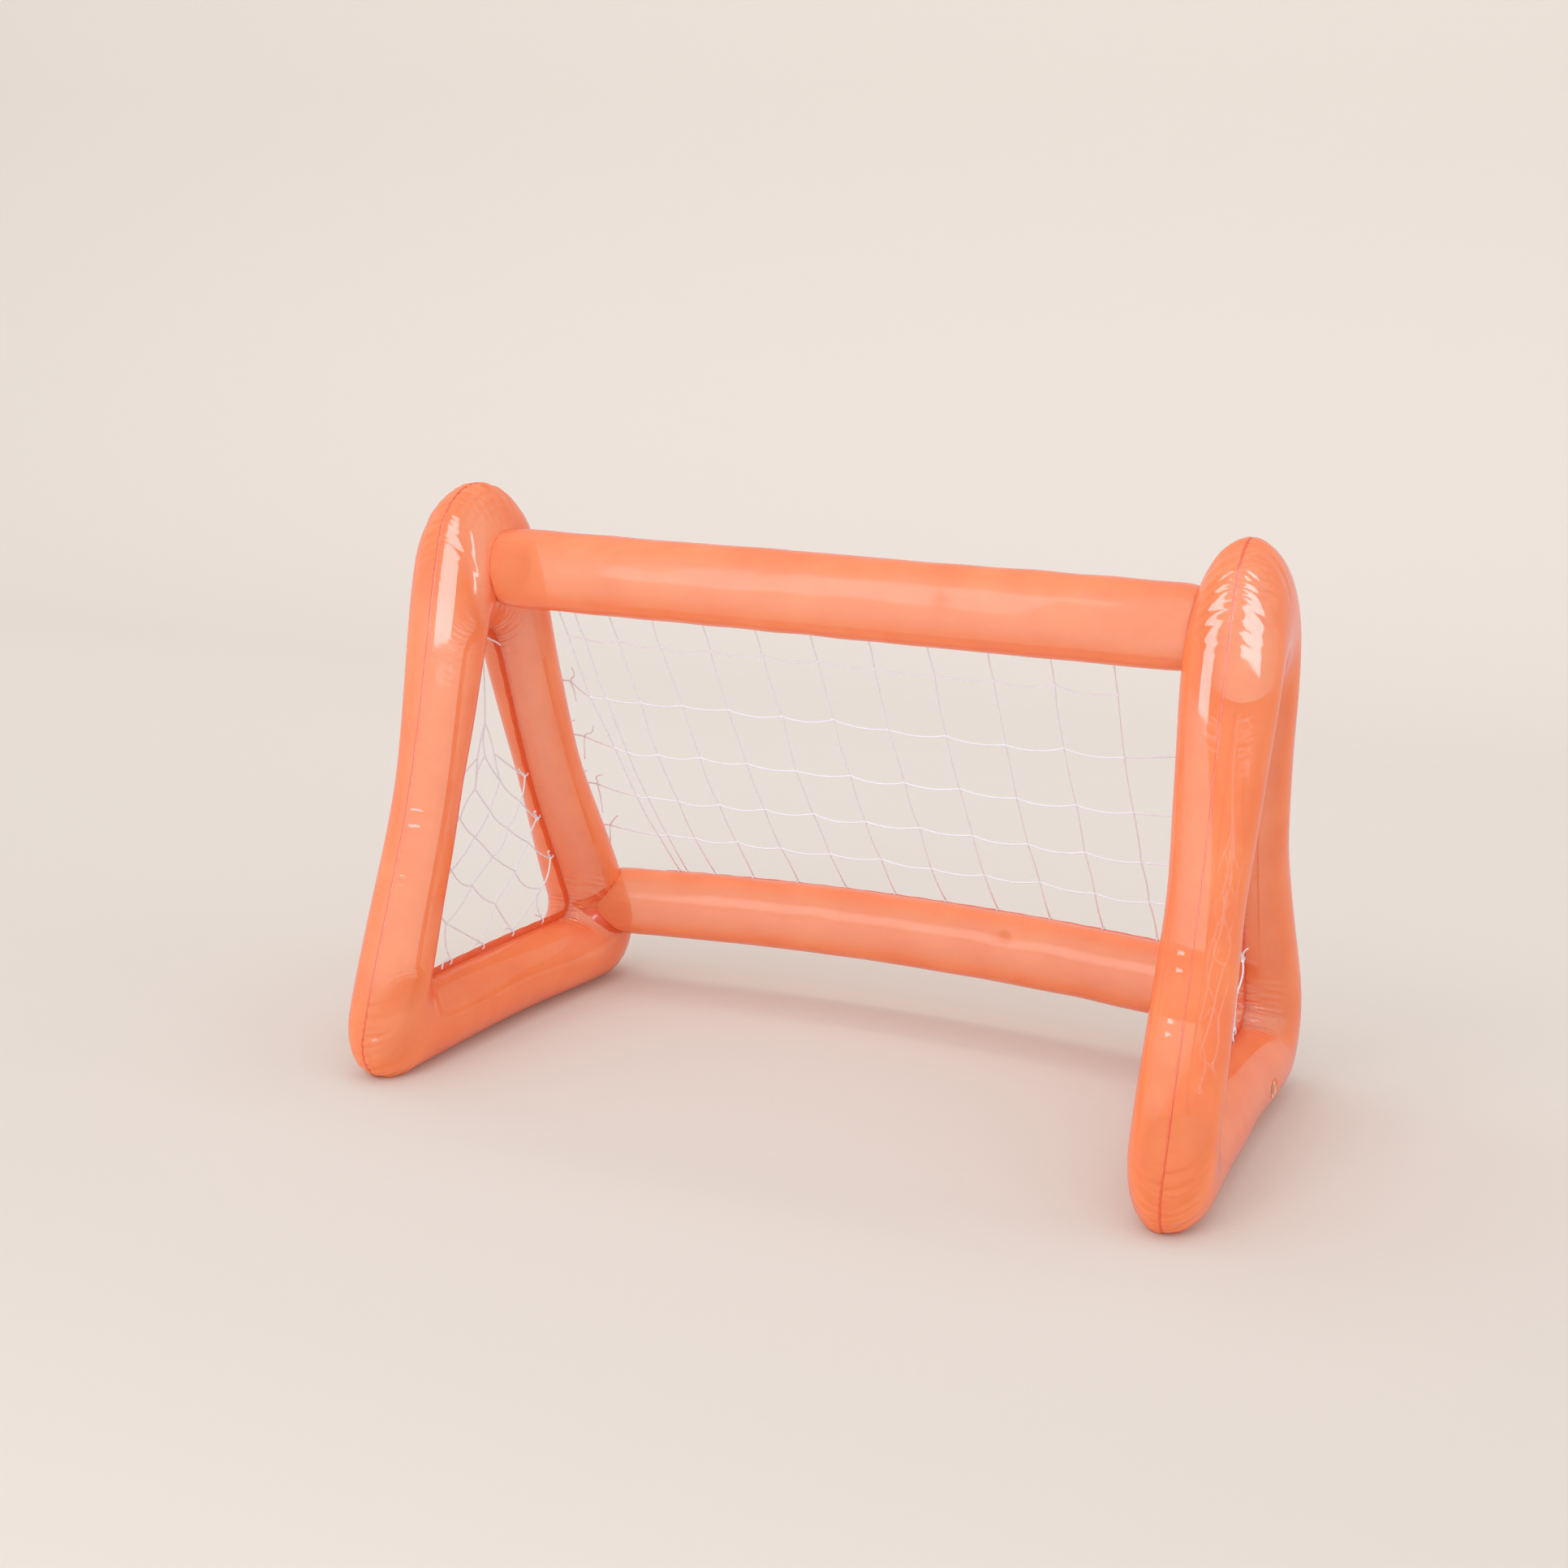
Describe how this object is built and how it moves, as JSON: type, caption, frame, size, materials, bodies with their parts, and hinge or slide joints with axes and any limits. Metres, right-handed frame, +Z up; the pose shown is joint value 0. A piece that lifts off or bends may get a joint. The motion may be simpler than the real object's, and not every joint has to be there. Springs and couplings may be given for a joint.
{
  "type": "inflatable goal",
  "caption": "Inflatable play goal: triangular side frames joined by crossbars, with a tied-on string net and push-in valves.",
  "frame": {"origin": "on the ground, in the middle of the goal's box seen from above", "axes": "+Z up, -Y out through the goal's mouth, +X to the right for someone who faces the mouth"},
  "size_m": [1.3688, 0.7809, 0.9076],
  "materials": {
    "film": "gloss",
    "seam_film": "satin",
    "net_string": "matte",
    "valve_plastic": "satin"
  },
  "bodies": {
    "goal": {"back_net": "net_string", "left_back_seam_net_flange": "seam_film", "left_frame_valve_flange": "valve_plastic", "left_opening_net_flange": "seam_film", "left_side_frame": "film", "left_side_net": "net_string", "rear_bar_valve_flange": "valve_plastic", "rear_crossbar": "film", "rear_crossbar_left_end_disc": "film", "rear_crossbar_net_flange": "seam_film", "rear_crossbar_right_end_disc": "film", "right_back_seam_net_flange": "seam_film", "right_frame_valve_flange": "valve_plastic", "right_opening_net_flange": "seam_film", "right_side_frame": "film", "right_side_net": "net_string", "top_bar_valve_flange": "valve_plastic", "top_crossbar": "film", "top_crossbar_left_end_disc": "film", "top_crossbar_net_flange": "seam_film", "top_crossbar_right_end_disc": "film"},
    "left_frame_stem": {"left_frame_valve_stem": "valve_plastic"},
    "left_frame_cap": {"left_frame_valve_cap": "valve_plastic"},
    "left_frame_flap": {"left_frame_valve_flap": "seam_film"},
    "right_frame_stem": {"right_frame_valve_stem": "valve_plastic"},
    "right_frame_cap": {"right_frame_valve_cap": "valve_plastic"},
    "right_frame_flap": {"right_frame_valve_flap": "seam_film"},
    "top_bar_stem": {"top_bar_valve_stem": "valve_plastic"},
    "top_bar_cap": {"top_bar_valve_cap": "valve_plastic"},
    "top_bar_flap": {"top_bar_valve_flap": "seam_film"},
    "rear_bar_stem": {"rear_bar_valve_stem": "valve_plastic"},
    "rear_bar_cap": {"rear_bar_valve_cap": "valve_plastic"},
    "rear_bar_flap": {"rear_bar_valve_flap": "seam_film"}
  },
  "joints": [
    {"name": "left_frame_stem_slide", "type": "slide", "parent": "goal", "child": "left_frame_stem", "axis": [-0.9993, 0.0384, 0], "range_m": [0, 0.012]},
    {"name": "left_frame_cap_hinge", "type": "hinge", "parent": "left_frame_stem", "child": "left_frame_cap", "pos_m": [-0.67862, 0.10134, 0.07189], "axis": [0.0384, 0.9993, 0], "range_deg": [0, 150]},
    {"name": "left_frame_flap_hinge", "type": "hinge", "parent": "left_frame_stem", "child": "left_frame_flap", "pos_m": [-0.65853, 0.10057, 0.06929], "axis": [-0.0384, -0.9993, 0], "range_deg": [0, 65], "stiffness_Nm_per_rad": 0.000004, "springref_deg": -22.92},
    {"name": "right_frame_stem_slide", "type": "slide", "parent": "goal", "child": "right_frame_stem", "axis": [0.9993, 0.0384, 0], "range_m": [0, 0.012]},
    {"name": "right_frame_cap_hinge", "type": "hinge", "parent": "right_frame_stem", "child": "right_frame_cap", "pos_m": [0.67862, 0.10134, 0.07189], "axis": [0.0384, -0.9993, 0], "range_deg": [0, 150]},
    {"name": "right_frame_flap_hinge", "type": "hinge", "parent": "right_frame_stem", "child": "right_frame_flap", "pos_m": [0.65853, 0.10057, 0.06929], "axis": [-0.0384, 0.9993, 0], "range_deg": [0, 65], "stiffness_Nm_per_rad": 0.000004, "springref_deg": -22.92},
    {"name": "top_bar_stem_slide", "type": "slide", "parent": "goal", "child": "top_bar_stem", "axis": [0, 1, 0], "range_m": [0, 0.012]},
    {"name": "top_bar_cap_hinge", "type": "hinge", "parent": "top_bar_stem", "child": "top_bar_cap", "pos_m": [0.15, -0.02107, 0.7874], "axis": [1, 0, 0], "range_deg": [0, 150]},
    {"name": "top_bar_flap_hinge", "type": "hinge", "parent": "top_bar_stem", "child": "top_bar_flap", "pos_m": [0.15, -0.04117, 0.7848], "axis": [-1, 0, 0], "range_deg": [0, 65], "stiffness_Nm_per_rad": 0.000004, "springref_deg": -22.92},
    {"name": "rear_bar_stem_slide", "type": "slide", "parent": "goal", "child": "rear_bar_stem", "axis": [0.0523, 0.9986, 0], "range_m": [0, 0.012]},
    {"name": "rear_bar_cap_hinge", "type": "hinge", "parent": "rear_bar_stem", "child": "rear_bar_cap", "pos_m": [0.15316, 0.38791, 0.1599], "axis": [0.9986, -0.0523, 0], "range_deg": [0, 150]},
    {"name": "rear_bar_flap_hinge", "type": "hinge", "parent": "rear_bar_stem", "child": "rear_bar_flap", "pos_m": [0.15211, 0.36784, 0.1573], "axis": [-0.9986, 0.0523, 0], "range_deg": [0, 65], "stiffness_Nm_per_rad": 0.000004, "springref_deg": -22.92}
  ]
}
